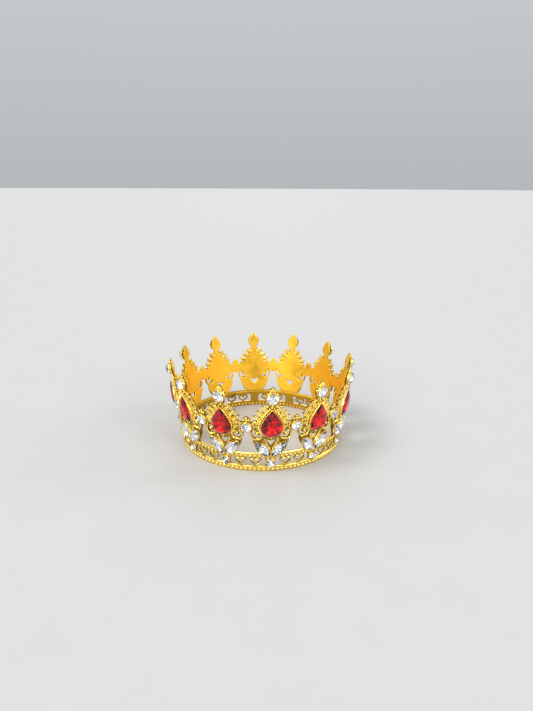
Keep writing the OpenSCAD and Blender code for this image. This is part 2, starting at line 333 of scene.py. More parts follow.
def blended(a: Array, b: Array, fillet: float) -> Array:
    """The union of two outlines with a rounded inner corner: the smaller distance, less a bump where both are
    alike."""
    near = np.maximum(fillet - np.abs(a - b), 0) / fillet
    return np.minimum(a, b) - near * near * fillet / 4


def pear(length: float, width: float, count: int) -> Array:
    """A teardrop: its height is a cosine, and its width a sine times the sine of half the angle."""
    t = 2 * math.pi * np.arange(count) / count
    return np.stack([width / 2 / 0.7698 * np.sin(t) * np.sin(t / 2), length / 2 * np.cos(t)], axis=1)


def navette(length: float, width: float, count: int) -> Array:
    """A pointed oval: two equal arcs that meet at its tips."""
    r = (length * length + width * width) / width / 4
    reach = math.asin(length / 2 / r)
    t = reach - 2 * reach * np.arange(count // 2) / (count // 2)
    side = np.stack([r * np.cos(t) - (r - width / 2), r * np.sin(t)], axis=1)
    return np.concatenate([side, -side])[::-1]


def circle(diameter: float, count: int) -> Array:
    """A circle's corners, from its top."""
    t = 2 * math.pi * np.arange(count) / count
    return diameter / 2 * np.stack([np.sin(t), np.cos(t)], axis=1)


def widened(corners: Array, extra: float) -> Array:
    """An outline moved outward by an even distance, along the mean of each corner's two edge directions."""
    along = np.roll(corners, -1, axis=0) - np.roll(corners, 1, axis=0)
    along = along / np.linalg.norm(along, axis=1, keepdims=True)
    out = np.stack([along[:, 1], -along[:, 0]], axis=1)
    sign = np.sign((out * corners).sum())
    return corners + sign * extra * out


# ---------------------------------------------------------------- a pierced plate with relief


@dataclass(frozen=True)
class Plate:
    """A cast sheet with a pierced outline, a front with relief and a back."""

    outline: Outline
    front: Callable[[Array, Array, Array], Array]
    back: Callable[[Array, Array, Array], Array]
    box: tuple[float, float, float, float]
    cell: float
    # Shares of painted shade: on the front's level face, and on the back.
    painted_shade: float = 0.75
    back_painted_shade: float = 0.0
    ring: bool = False

    def _snapped(self, u: Array, s: Array, edge: NDArray[np.bool_]) -> tuple[Array, Array]:
        """Moves the edge's corners onto the outline, by five steps down the distance's own slope."""
        eu, es, step = u[edge], s[edge], 0.02
        limit = 0.7 * self.cell
        for _ in range(5):
            d = self.outline(eu, es)
            du = (self.outline(eu + step, es) - self.outline(eu - step, es)) / (2 * step)
            ds = (self.outline(eu, es + step) - self.outline(eu, es - step)) / (2 * step)
            size = np.maximum(du * du + ds * ds, 0.25)
            eu = eu - np.clip(d * du / size, -limit, limit)
            es = es - np.clip(d * ds / size, -limit, limit)
        u, s = u.copy(), s.copy()
        u[edge], s[edge] = eu, es
        return u, s

    def build(self, lay: Lay) -> Patch:
        """Lays a grid over the box, keeps the cells inside the outline, moves their edge onto it, and joins the
        front to the back round the edge.

        Args:
            lay: Puts (u, s, w) on the wall.

        Returns:
            The closed plate, with satin on its back, and on its front a recess share for the painted shade that
            is the base share plus half the depth.
        """
        u0, s0, u1, s1 = self.box
        columns, rows = round((u1 - u0) / self.cell), round((s1 - s0) / self.cell)
        u, s = np.meshgrid(np.linspace(u0, u1, columns + 1), np.linspace(s0, s1, rows + 1), indexing="ij")
        d = self.outline(u, s)
        kept = (d[:-1, :-1] + d[1:, :-1] + d[:-1, 1:] + d[1:, 1:]) < 0
        if self.ring:
            u, s = u[:-1], s[:-1]
        side = np.concatenate([kept[-1:], kept, kept[:1]] if self.ring else
                              [np.zeros((1, rows), bool), kept, np.zeros((1, rows), bool)])
        side = np.pad(side, ((0, 0), (1, 1)))
        around = np.stack([side[:-1, :-1], side[1:, :-1], side[:-1, 1:], side[1:, 1:]])
        if self.ring:
            around = around[:, :-1]
        used = around.any(axis=0)
        edge = used & ~around.all(axis=0)
        u, s = self._snapped(u, s, edge)
        depth = np.maximum(-self.outline(u, s), 0)
        front, back = self.front(u, s, depth), self.back(u, s, depth)
        index = np.full(used.shape, -1)
        count = int(used.sum())
        index[used] = np.arange(count)
        wrapped = np.concatenate([index, index[:1]]) if self.ring else index
        quads = np.stack([wrapped[:-1, :-1], wrapped[1:, :-1], wrapped[1:, 1:], wrapped[:-1, 1:]], axis=-1)
        quads = quads[kept]
        upright = (side[:-1, 1:-1] != side[1:, 1:-1])
        upright = upright[:-1] if self.ring else upright
        lines = [np.stack([index[:, :-1], index[:, 1:]], axis=-1)[upright]]
        level = side[1:-1, :-1] != side[1:-1, 1:]
        lines.append(np.stack([wrapped[:-1], wrapped[1:]], axis=-1)[level])
        rim = np.concatenate(lines)
        walls = np.stack([rim[:, 0], rim[:, 1], rim[:, 1] + count, rim[:, 0] + count], axis=1)
        places = np.concatenate([lay(u[used], s[used], front[used]), lay(u[used], s[used], back[used])])
        shares = np.zeros((2 * count, 3))
        # Painted shade: the front's recess share grows with depth.
        shares[:count, 1] = np.clip(self.painted_shade - 0.5 * front[used], 0, 1)
        shares[count:] = (1, self.back_painted_shade, 0)
        return Patch(places, [quads, quads[:, ::-1] + count, walls], shares)


# ---------------------------------------------------------------- shader maths


class Net:
    """The node tree of one material."""

    def __init__(self, material: bpy.types.Material | bpy.types.World) -> None:
        """Starts an empty tree."""
        material.use_nodes = True
        self.tree = material.node_tree
        self.tree.nodes.clear()

    def node(self, kind: str, settings: dict[str, object] | None = None, out: int | str = 0,
             **inputs: object) -> "Value":
        """Makes a node.

        Args:
            kind: The node's type.
            settings: Its own settings, set first; stops is a ramp's list of (place, colour).
            out: The output that is returned.
            inputs: Values or links of its sockets, by name with _ for spaces, or by number as i0, i1.

        Returns:
            The chosen output.
        """
        made = self.tree.nodes.new(kind)
        for name, value in (settings or {}).items():
            if name == "stops":
                self._set_stops(made.color_ramp, value)
            else:
                setattr(made, name, value)
        for name, value in inputs.items():
            key = int(name[1:]) if name[0] == "i" and name[1:].isdigit() else name.replace("_", " ")
            socket = made.inputs[key]
            if isinstance(value, Value):
                self.tree.links.new(value.socket, socket)
            else:
                socket.default_value = value
        return Value(self, made.outputs[out])

    @staticmethod
    def _set_stops(ramp: bpy.types.ColorRamp, stops: Sequence[tuple[float, Sequence[float]]]) -> None:
        """Gives a ramp its stops."""
        while len(ramp.elements) < len(stops):
            ramp.elements.new(0.5)
        for element, (place, colour) in zip(ramp.elements, stops):
            element.position, element.color = place, colour

    def maths(self, operation: str, a: object, b: object = 0.0) -> "Value":
        """One Math node."""
        return self.node("ShaderNodeMath", {"operation": operation}, i0=a, i1=b)

    def mix(self, share: object, a: object, b: object, blend: str = "MIX") -> "Value":
        """A mix of two colours."""
        settings = {"data_type": "RGBA", "blend_type": blend, "clamp_result": True}
        return self.node("ShaderNodeMix", settings, out=2, i0=share, i6=a, i7=b)

    def share(self, name: str) -> "Value":
        """A named share of the mesh, from 0 to 1."""
        return self.node("ShaderNodeAttribute", {"attribute_name": name}, out="Fac")

    def noise(self, scale: float, detail: float = 3.0, stretch: Sequence[float] = (1, 1, 1)) -> "Value":
        """Noise on the object's own coordinates, in waves per metre, stretched along the axes."""
        where = self.node("ShaderNodeTexCoord", out="Object")
        where = self.node("ShaderNodeMapping", Vector=where, Scale=tuple(stretch))
        return self.node("ShaderNodeTexNoise", Vector=where, Scale=scale, Detail=detail, Roughness=0.6)

    def bump(self, height: "Value", strength: float, depth: float) -> "Value":
        """A bump of the given depth in metres."""
        return self.node("ShaderNodeBump", Height=height, Strength=strength, Distance=depth)

    def finish(self, shader: "Value") -> None:
        """Sends a shader to the surface."""
        output = self.tree.nodes.new("ShaderNodeOutputMaterial")
        self.tree.links.new(shader.socket, output.inputs["Surface"])


@dataclass(frozen=True)
class Value:
    """A number in a shader, on which Python's own operators add Math nodes."""

    net: Net
    socket: bpy.types.NodeSocket

    def __add__(self, other: object) -> "Value":
        """Sum."""
        return self.net.maths("ADD", self, other)

    __radd__ = __add__

    def __mul__(self, other: object) -> "Value":
        """Product."""
        return self.net.maths("MULTIPLY", self, other)

    __rmul__ = __mul__

    def __sub__(self, other: object) -> "Value":
        """Difference."""
        return self.net.maths("SUBTRACT", self, other)

    def __rsub__(self, other: object) -> "Value":
        """Difference, with this value taken away."""
        return self.net.maths("SUBTRACT", other, self)

    def held(self) -> "Value":
        """The value, held between 0 and 1."""
        return self.net.node("ShaderNodeClamp", Value=self)


# ---------------------------------------------------------------- finishes


@dataclass(frozen=True)
class GoldPlate:
    """Bright yellow gold plating on a casting: shiny on the relief, satin on the plain back with olive patches
    of painted dark reflection, and with painted shade in the recesses."""

    bright: tuple[float, float, float] = (1.0, 0.69, 0.11)
    pale: tuple[float, float, float] = (1.0, 0.80, 0.28)
    back: tuple[float, float, float] = (1.0, 0.585, 0.028)
    # Colour of the painted dark reflections on the satin back.
    olive: tuple[float, float, float] = (0.50, 0.30, 0.02)
    # Colour of the painted shade in the recesses.
    painted_shade: tuple[float, float, float] = (0.12, 0.06, 0.006)

    def material(self) -> bpy.types.Material:
        """Builds the material.

        Returns:
            The gold, which reads the satin and recess shares.
        """
        made = bpy.data.materials.new("gold_plating")
        net = Net(made)
        satin, recess = net.share("satin"), net.share("recess")
        cloud, grain, skin = net.noise(260), net.noise(2600, 4), net.noise(900, 5)
        drag, reflection_patches = net.noise(1500, 3, (1, 1, 0.12)), net.noise(70, 4)
        wave = net.noise(190, 2)
        front = net.mix((cloud * 1.8 - 0.4).held(), (*self.bright, 1), (*self.pale, 1))
        satin_and_dark_reflection = net.mix((drag * 0.8).held(), (*self.back, 1), (*self.bright, 1))
        # Painted dark reflection: olive patches, placed at random, over the satin back.
        satin_and_dark_reflection = net.mix(((reflection_patches - 0.56) * 4.5).held(), satin_and_dark_reflection, (*self.olive, 1))
        plain = net.mix(satin, front, satin_and_dark_reflection)
        # Painted shade: the recess share, broken up by the grain, darkens the gold towards the shade colour.
        recess_shade = (recess * recess * 1.25 + (grain - 0.5) * 1.8 * recess).held()
        colour = net.mix(recess_shade, plain, (*self.painted_shade, 1))
        rough = 0.13 + 0.12 * skin + satin * (0.20 + 0.16 * drag) + recess * 0.10
        height = grain * (1 - 0.5 * satin) + skin * 0.8 + (drag * 0.6 + wave * 9) * satin
        shader = net.node("ShaderNodeBsdfPrincipled", Base_Color=colour, Metallic=1.0, Roughness=rough,
                          Normal=net.bump(height, 0.45, 0.00005))
        net.finish(shader)
        return made


@dataclass(frozen=True)
class Glass:
    """Faceted glass, clean apart from faint smears. The glare is the strength of its surface reflection."""

    name: str
    colour: tuple[float, float, float]
    glare: float = 0.5

    def material(self) -> bpy.types.Material:
        """Builds the material.

        Returns:
            The glass.
        """
        made = bpy.data.materials.new(self.name)
        net = Net(made)
        smear = net.noise(700, 2)
        deep = tuple(c * 0.86 for c in self.colour)
        colour = net.mix(smear, (*self.colour, 1), (*deep, 1))
        rough = (smear - 0.5) * 0.03
        shader = net.node("ShaderNodeBsdfPrincipled", Base_Color=colour, Roughness=rough.held(), IOR=1.48,
                          Transmission_Weight=1.0, Specular_IOR_Level=self.glare)
        net.finish(shader)
        return made


@dataclass(frozen=True)
class Foil:
    """The mirror foil behind a stone, painted lighter and darker from facet to facet: painted reflection and
    shade. The lift moves the balance towards the light colour."""

    name: str
    # The light colour is the foil's own; the dark colour is painted shade on facets picked at random.
    light: tuple[float, float, float]
    dark: tuple[float, float, float]
    lift: float = -0.36

    def material(self) -> bpy.types.Material:
        """Builds the material.

        Returns:
            The foil, which reads the share of painted light per facet.
        """
        made = bpy.data.materials.new(self.name)
        net = Net(made)
        facet_light, crinkle = net.share("facet_light"), net.noise(1400, 2)
        # Painted reflection and shade: each facet's share picks between the dark and the light colour.
        light = (facet_light * 2.6 + self.lift + (crinkle - 0.5) * 0.15).held()
        colour = net.mix(light, (*self.dark, 1), (*self.light, 1))
        shader = net.node("ShaderNodeBsdfPrincipled", Base_Color=colour, Metallic=1.0,
                          Roughness=0.03 + 0.08 * crinkle)
        net.finish(shader)
        return made


@dataclass(frozen=True)
class PaleFloor:
    """A plain pale floor with a faint mottle."""

    colour: tuple[float, float, float] = (0.56, 0.555, 0.545)

    def material(self) -> bpy.types.Material:
        """Builds the material.

        Returns:
            The floor's paint.
        """
        made = bpy.data.materials.new("pale_floor")
        net = Net(made)
        mottle = net.noise(40, 4)
        darker = tuple(c * 0.95 for c in self.colour)
        shader = net.node("ShaderNodeBsdfPrincipled",
                          Base_Color=net.mix(mottle, (*self.colour, 1), (*darker, 1)),
                          Roughness=0.62 + 0.1 * mottle)
        net.finish(shader)
        return made


@dataclass
class Finishes:
    """Every finish of the crown."""

    gold: bpy.types.Material = field(default_factory=lambda: GoldPlate().material())
    red_glass: bpy.types.Material = field(
        default_factory=lambda: Glass("red_glass", (1.0, 0.26, 0.29), 0.3).material())
    clear_glass: bpy.types.Material = field(
        default_factory=lambda: Glass("clear_glass", (0.97, 0.98, 1.0)).material())
    red_foil: bpy.types.Material = field(
        default_factory=lambda: Foil("red_foil", (1.0, 0.008, 0.015), (0.10, 0.0, 0.002)).material())
    silver_foil: bpy.types.Material = field(
        default_factory=lambda: Foil("silver_foil", (1.0, 1.0, 1.0), (0.16, 0.16, 0.17), -0.05).material())


# ---------------------------------------------------------------- pieces


def mesh_of(name: str, patch: Patch, sharp: float = 35.0) -> bpy.types.Mesh:
    """Makes a mesh in metres: merges doubles, turns the faces outward and marks edges sharper than an angle.

    Args:
        name: The mesh's name.
        patch: The surface.
        sharp: The angle in degrees, or 0 for flat facets.

    Returns:
        The mesh, with its shares as attributes.
    """
    mesh = bpy.data.meshes.new(name)
    mesh.from_pydata((patch.places * MM).tolist(), [], [f for block in patch.faces for f in block.tolist()])
    for column, share in enumerate(("satin", "recess", "facet_light")):
        layer = mesh.attributes.new(share, "FLOAT", "POINT")
        layer.data.foreach_set("value", patch.shares[:, column].astype(np.float32))
    work = bmesh.new()
    work.from_mesh(mesh)
    bmesh.ops.remove_doubles(work, verts=work.verts, dist=1e-7)
    bmesh.ops.recalc_face_normals(work, faces=work.faces)
    work.to_mesh(mesh)
    work.free()
    mesh.shade_smooth() if sharp else mesh.shade_flat()
    if sharp:
        mesh.set_sharp_from_angle(angle=math.radians(sharp))
    return mesh


def piece(name: str, mesh: bpy.types.Mesh, finish: bpy.types.Material,
          nodes: Sequence[str]) -> bpy.types.Object:
    """Adds a piece to the crown.

    Args:
        name: The piece's name.
        mesh: Its mesh, already in place.
        finish: Its material.
        nodes: The CAD nodes that it stands for.

    Returns:
        The piece.
    """
    made = bpy.data.objects.new(name, mesh)
    bpy.context.scene.collection.objects.link(made)
    if not mesh.materials:
        mesh.materials.append(finish)
    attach(made, BODY)
    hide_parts(*nodes)
    LOG.info("%s: %d faces", name, len(mesh.polygons))
    return made


def ring_of(name: str, mesh: bpy.types.Mesh, finish: bpy.types.Material, node: str,
            wall: Wall) -> None:
    """Adds a copy of a piece for every point, each turned on from the last.

    Args:
        name: The pieces' name, to which a number is added.
        mesh: The mesh of the first.
        finish: Their material.
        node: The CAD nodes' name, to which the same number is added.
        wall: The crown's wall.
    """
    for k in range(wall.count):
        copy = mesh.copy()
        copy.transform(Matrix.Rotation(k * wall.pitch, 4, "Z"))
        piece(f"{name}_{k + 1:02d}", copy, finish, [f"{node}_{k + 1:02d}"])


# ---------------------------------------------------------------- stones and their cups


@dataclass(frozen=True)
class Cut:
    """A stone's cut. Heights are over the wall's front."""

    outline: Array
    top: float
    girdle: float
    foot: float
    table: float = 0.56
    middle: float = 0.80
    culet: tuple[float, float] = (0.0, 0.0)

    def glass(self, seat: Seat) -> Patch:
        """The clear solid. Corners of the table, the crown and the girdle are the outline shrunk towards the
        culet; odd corners make the table and even ones the crown's middle ring.

        Args:
            seat: Where the stone sits.

        Returns:
            The faceted glass.
        """
        count = len(self.outline) // 2
        centre = np.array(self.culet)
        spokes = self.outline - centre
        even, odd = spokes[0::2], spokes[1::2]
        rise = self.top - self.girdle
        rings = [(even * self.table, self.top), (odd * self.middle, self.girdle + 0.62 * rise),
                 (spokes, self.girdle + 0.12), (spokes, self.girdle - 0.06),
                 (spokes * 0.93, (self.girdle + self.foot) / 2), (spokes * 0.72, self.foot)]
        places = [seat.place(r[:, 0] + centre[0], r[:, 1] + centre[1], np.full(len(r), h)) for r, h in rings]
        starts = np.cumsum([0] + [len(r) for r, _ in rings])
        k = np.arange(count)
        after = (k + 1) % count
        table, crown, rim = starts[0], starts[1], starts[2]
        two = 2 * count
        faces = [np.arange(count)[None] + table,
                 np.stack([table + k, crown + k, table + after], axis=1),
                 np.stack([table + after, crown + k, rim + 2 * after], axis=1),
                 np.stack([table + after, rim + 2 * after, crown + after], axis=1),
                 np.stack([crown + k, rim + 2 * k, rim + 2 * k + 1], axis=1),
                 np.stack([crown + k, rim + 2 * k + 1, rim + (2 * k + 2) % two], axis=1)]
        j = np.arange(two)
        for low, high in zip(starts[2:5], starts[3:6]):
            faces.append(np.stack([low + j, low + (j + 1) % two, high + (j + 1) % two, high + j], axis=1))
        faces.append((starts[5] + j)[None])
        flat = np.concatenate(places)
        return Patch(flat, faces, np.zeros((len(flat), 3)))

    def foil(self, seat: Seat) -> Patch:
        """The folded mirror bowl under the glass: rings of triangles that fall, rise and fall again towards the
        culet.

        Args:
            seat: Where the stone sits.

        Returns:
            The foil, with a share of painted light and shade that changes from facet to facet.
        """
        count = len(self.outline)
        centre = np.array(self.culet)
        spokes = self.outline - centre
        half = 0.5 * (spokes + np.roll(spokes, -1, axis=0))
        deep = self.foot + 0.10
        span = self.girdle - deep
        sway = 0.10 * span * np.sin(np.arange(count) * 2.4)
        rings = [(spokes * 0.965, np.full(count, self.girdle - 0.08)), (half * 0.70, deep + 0.42 * span + sway),
                 (spokes * 0.42, deep + 0.10 * span + np.abs(sway)), (half * 0.20, deep + 0.26 * span + sway)]
        grid = np.stack([seat.place(r[:, 0] + centre[0], r[:, 1] + centre[1], h) for r, h in rings])
        nxt = np.roll(grid, -1, axis=1)
        triangles = []
        for ring in range(3):
            here, there = grid[ring], grid[ring + 1]
            here_next, there_next = nxt[ring], nxt[ring + 1]
            if ring % 2 == 0:
                triangles += [np.stack([here, here_next, there], axis=1),
                              np.stack([here_next, there_next, there], axis=1)]
            else:
                triangles += [np.stack([here, there_next, there], axis=1),
                              np.stack([here, here_next, there_next], axis=1)]
        tip = np.broadcast_to(seat.place(*centre, np.array(deep + 0.3 * span)), (count, 3))
        triangles.append(np.stack([grid[3], nxt[3], tip], axis=1))
        facets = np.concatenate(triangles)
        under = np.broadcast_to(seat.place(*centre, np.array(self.foot + 0.03)), (count, 3))
        facets = np.concatenate([facets, np.stack([nxt[0], grid[0], under], axis=1)])
        # Each facet's share of painted light, at random.
        facet_light = np.modf(np.sin(np.arange(len(facets)) * 12.9898 + 4.1) * 43758.5453)[0] % 1.0
        shares = np.zeros((len(facets) * 3, 3))
        shares[:, 2] = np.repeat(facet_light, 3)
        return Patch(facets.reshape(-1, 3), [np.arange(len(facets) * 3).reshape(-1, 3)], shares)

    def skirt(self, seat: Seat, low: float) -> Patch:
        """The foil's turned-up edge, a thin strip that hugs the stone between its cup and its girdle."""
        ring = widened(self.outline, -0.02)
        heights = np.array([low, self.girdle - 0.1, self.girdle - 0.1, low])
        shrink = np.array([0.985, 1.004, 0.96, 0.94])
        grid = seat.place(ring[:, :1] * shrink, ring[:, 1:] * shrink, np.broadcast_to(heights, (len(ring), 4)))
        # A high share of painted light, so that the skirt takes the foil's light colour.
        return woven(grid, wrap_first=True).tagged(facet_light=0.8)


@dataclass(frozen=True)
class Bezel:
    """A cup's rim round a stone."""

    outline: Array
    wall: float = 0.6
    height: float = 1.0

    def rim(self, seat: Seat) -> Patch:
        """A raised strip along the outline, widened by half the wall."""
        path = widened(self.outline, self.wall / 2 - 0.03)
        base = self.height - 0.45
        return laid(ribbon(path, self.wall / 2, 0.45, base, base + 0.4, closed=True, sides=12), seat.place,
                    wrap_first=True)

    def claws(self, seat: Seat, angles: Sequence[float], top: float, reach: float) -> list[Patch]:
        """Short claws that lean over the stone's edge.

        Args:
            seat: Where the stone sits.
            angles: Their directions.
            top: Height of their tips.
            reach: Radius of the stone.

        Returns:
            The claws.
        """
        made = []
        t = np.linspace(0, 1, 7)
        for angle in angles:
            away = reach + 0.34 - 0.62 * t ** 2.2
            path = np.stack([away * math.cos(angle), away * math.sin(angle)], axis=1)
            half = 0.36 * np.sqrt(np.maximum(1 - (2 * t - 1) ** 4, 0))
            turn = 2 * math.pi * np.arange(8) / 8
            side = np.array([-math.sin(angle), math.cos(angle)])
            out = np.array([math.cos(angle), math.sin(angle)])
            p = path[:, :1] + half[:, None] * (np.cos(turn) * side[0] + np.sin(turn) * out[0] * 0.7)
            q = path[:, 1:] + half[:, None] * (np.cos(turn) * side[1] + np.sin(turn) * out[1] * 0.7)
            w = np.broadcast_to((0.2 + (top - 0.2) * t)[:, None], p.shape)
            made.append(woven(seat.place(p, q, w)))
        return made


@dataclass(frozen=True)
class StoneKind:
    """One kind of stone with its foil and its places."""

    name: str
    cut: Cut
    red: bool = False

    def dress(self, seats: Sequence[Seat], wall: Wall, finishes: Finishes, nodes: Sequence[str]) -> None:
        """Adds the glass, the foil and the skirt: one of each for every point where there is a node for each
        point, and one in all where one node holds every stone.

        Args:
            seats: Where the stones of one point sit.
            wall: The crown's wall.
            finishes: The crown's finishes.
            nodes: The one node's name, or the first and last numbers of the twelve.
        """
        glass = joined([self.cut.glass(seat) for seat in seats])
        foil = joined([self.cut.foil(seat) for seat in seats])
        skirt = joined([self.cut.skirt(seat, 0.2) for seat in seats])
        parts = (("glass", glass, finishes.red_glass if self.red else finishes.clear_glass),
                 ("foil", foil, finishes.red_foil if self.red else finishes.silver_foil),
                 ("skirt", skirt, finishes.silver_foil))
        for part, patch, finish in parts:
            name = f"{self.name}_{part}"
            if len(nodes) == 1:
                whole = joined([patch.turned(k * wall.pitch) for k in range(wall.count)])
                piece(name, mesh_of(name, whole, 0), finish, nodes)
            else:
                ring_of(name, mesh_of(name, patch, 0), finish, self.name, wall)


# ---------------------------------------------------------------- the castings


@dataclass(frozen=True)
class Measures:
    """Driving sizes of the stones and their places, as the castings were drawn."""

    pear_len: float = 14.0
    pear_wid: float = 10.0
    stone_swell: float = 0.12
    pear_foot: float = 11.9
    crest_d: float = 5.4
    crest_s: float = 32.3
    bridge_d: float = 4.8
    bridge_s: float = 16.5
    bridge_half: float = 3.7
    band_d: float = 4.1
    band_z: float = 4.45
    navette_len: float = 10.0
    navette_wid: float = 4.8
    navette_tilt: float = math.radians(50)
    navette_foot: float = 0.45
    navette_split: float = 1.4
    tip_s: float = 37.55

    @property
    def pear_s(self) -> float:
        """Height of the pear stone's middle."""
        return self.pear_foot + self.pear_len / 2

    @property
    def navette_place(self) -> tuple[float, float]:
        """Middle of a navette stone: half its length from its foot, along its tilt."""
        half = self.navette_len / 2
        return (self.navette_split / 2 + half * math.cos(self.navette_tilt),
                self.navette_foot + half * math.sin(self.navette_tilt))


@dataclass(frozen=True)
class PointCasting:
    """One of the twelve castings: crest, leaves, pear cup, scrolls, ribs and navette cups."""

    wall: Wall
    size: Measures
    arm_low: float = 15.0
    scroll: tuple[float, float] = (6.8, 12.15)
    scroll_r: float = 3.15
    leaf_bases: tuple[tuple[float, float], ...] = ((1.9, 24.0), (3.4, 21.9), (4.5, 19.6))
    leaf_tips: tuple[tuple[float, float], ...] = ((4.55, 27.75), (6.85, 25.0), (8.45, 22.2))
    teeth: tuple[tuple[float, float], ...] = ((2.55, 27.3), (5.2, 26.0), (6.75, 23.3), (7.6, 20.6))

    @property
    def joint(self) -> float:
        """The angle from the centre line to the joint with the bridge."""
        size = self.size
        return self.wall.pitch / 2 - math.asin(size.bridge_half / self.wall.cone_radius(size.bridge_s))

    def outline(self, u: Array, s: Array) -> Array:
        """Distance from the casting's pierced outline, the same on both sides of the centre line."""
        size, x = self.size, np.abs(u)
        d = loop(x, s, pear(size.pear_len + 1.5, size.pear_wid + 1.1, 40) + np.array([0, size.pear_s]))
        crest = blended(disc(x, s, 0, size.crest_s + 0.1, 3.12),
                        bar(x, s, (0, 34.0), (0, 36.4), 2.15, 1.15), 1.2)
        crest = blended(crest, bar(x, s, (0, 30.6), (0, 28.6), 2.2, 1.62), 1.0)
        d = np.minimum(d, blended(crest, bar(x, s, (0, 29.0), (0, 24.0), 1.62, 1.7), 0.6))
        fan = loop(x, s, np.array([[-4, 19], [6.3, 19], [6.0, 21.4], [5.35, 22.9], [4.0, 25.1], [1.5, 26.6],
                                   [-4, 26.6]]))
        d = blended(d, fan, 0.3)
        for base, tip in zip(self.leaf_bases, self.leaf_tips):
            d = blended(d, bar(x, s, base, tip, 1.35, 0.36), 0.25)
        for cu, cs in self.teeth:
            d = blended(d, disc(x, s, cu, cs, 0.42), 0.25)
        sleeve = loop(x, s, np.array([[-4, 12.0], [3, 12.0], [9.6, 13.2], [12, 14.2], [12, 18.9], [8.6, 19.2],
                                      [6.4, 20.4], [-4, 21.0]]))
        joint_u = self.wall.cone_radius(s) * math.sin(self.joint)
        reach = np.where(s > self.arm_low, joint_u, 10.95 - 0.5 * np.clip(self.arm_low - s, 0, 3))
        d = blended(d, np.maximum(sleeve, x - reach), 0.5)
        d = blended(d, disc(x, s, *self.scroll, self.scroll_r), 0.4)
        bulb = loop(x, s, np.array([[-4, 13], [5.0, 13], [8.5, 10.4], [8.9, 8.4], [8.5, 6.9], [7.7, 5.4],
                                    [6.7, 3.6], [5.8, 2.2], [5.2, 1.3], [-4, 1.3]]))
        d = blended(d, bulb, 0.4)
        hole = arc_bar(x, s, self.scroll, 1.62, math.radians(-48), math.radians(106), 0.52)
        heart = loop(x, s, np.array([[-0.01, 8.55], [0.5, 8.4], [1.3, 8.95], [2.35, 8.65], [0, 5.5],
                                     [-0.5, 7]]))
        dots = np.minimum(disc(x, s, 3.05, 25.0, 0.36), disc(x, s, 5.15, 23.1, 0.4))
        dots = np.minimum(dots, disc(x, s, 6.35, 20.7, 0.36))
        return np.maximum(np.maximum(d, -hole), np.maximum(-heart, -dots))

    def front(self, u: Array, s: Array, depth: Array) -> Array:
        """Height of the front: rounded over at the edge by a quarter circle, and sunk under each stone."""
        size, x = self.size, np.abs(u)
        height = -0.42 * (1 - np.sqrt(1 - (1 - np.minimum(depth / 0.42, 1)) ** 2))
        under_pear = loop(x, s, pear(size.pear_len - 0.2, size.pear_wid - 0.2, 32) + np.array([0, size.pear_s]))
        cu, cs = size.navette_place
        c, n = math.cos(size.navette_tilt), math.sin(size.navette_tilt)
        along, across = (x - cu) * c + (s - cs) * n, -(x - cu) * n + (s - cs) * c
        r = (size.navette_len ** 2 + size.navette_wid ** 2) / size.navette_wid / 4
        under_navette = np.hypot(along, np.abs(across) + r - size.navette_wid / 2) - r + 0.1
        under_crest = disc(x, s, 0, size.crest_s, size.crest_d / 2 - 0.1)
        under = np.minimum(np.minimum(under_pear, under_navette), under_crest)
        return np.where(under < 0, -0.74, height)

    def back(self, u: Array, s: Array, depth: Array) -> Array:
        """Height of the back: a thin flat sheet with a soft edge, hollowed behind the crest."""
        free = np.abs(u) < self.wall.cone_radius(s) * math.sin(self.joint) - 0.4
        edge = 0.18 * (1 - np.minimum(depth / 0.3, 1)) ** 2 * free
        away = np.hypot(u, s - self.size.crest_s) / 2.7
        return -self.wall.thick + edge + 0.10 * np.maximum(1 - away ** 2, 0)

    def leaf(self, base: tuple[float, float], tip: tuple[float, float], half: float, rise: float,
             bend: float = 0.0, notches: float = 3.5, lay: Lay | None = None) -> Patch:
        """A ribbed leaf: a strip whose half width is a sine that swells early, scalloped along its edges, with
        a groove along its middle and cross ribs in its height.

        Args:
            base: Where it starts.
            tip: Where it ends.
            half: Half its width.
            rise: Its height.
            bend: How far its middle bows to the left of its way.
            notches: Scallops along each edge.
            lay: Puts it on the wall, the slope by default.

        Returns:
            The leaf.
        """
        a = np.linspace(0, 1, 23)
        start, end = np.array(base), np.array(tip)
        way = end - start
        side = np.array([-way[1], way[0]]) / np.linalg.norm(way)
        path = start + a[:, None] * way + bend * np.sin(math.pi * a)[:, None] * side
        swell = np.sin(math.pi * a ** 0.75) ** 0.7
        scallop = 1 - 0.2 * (0.5 - 0.5 * np.cos(2 * math.pi * notches * a))
        ribs = 1 + 0.16 * np.cos(2 * math.pi * notches * a)
        grid = ribbon(path, half * swell * scallop, rise * swell ** 0.6 * ribs, 0.0, 0.3, 0.55, sides=14)
        return laid(grid, lay or self.wall.on_slope)

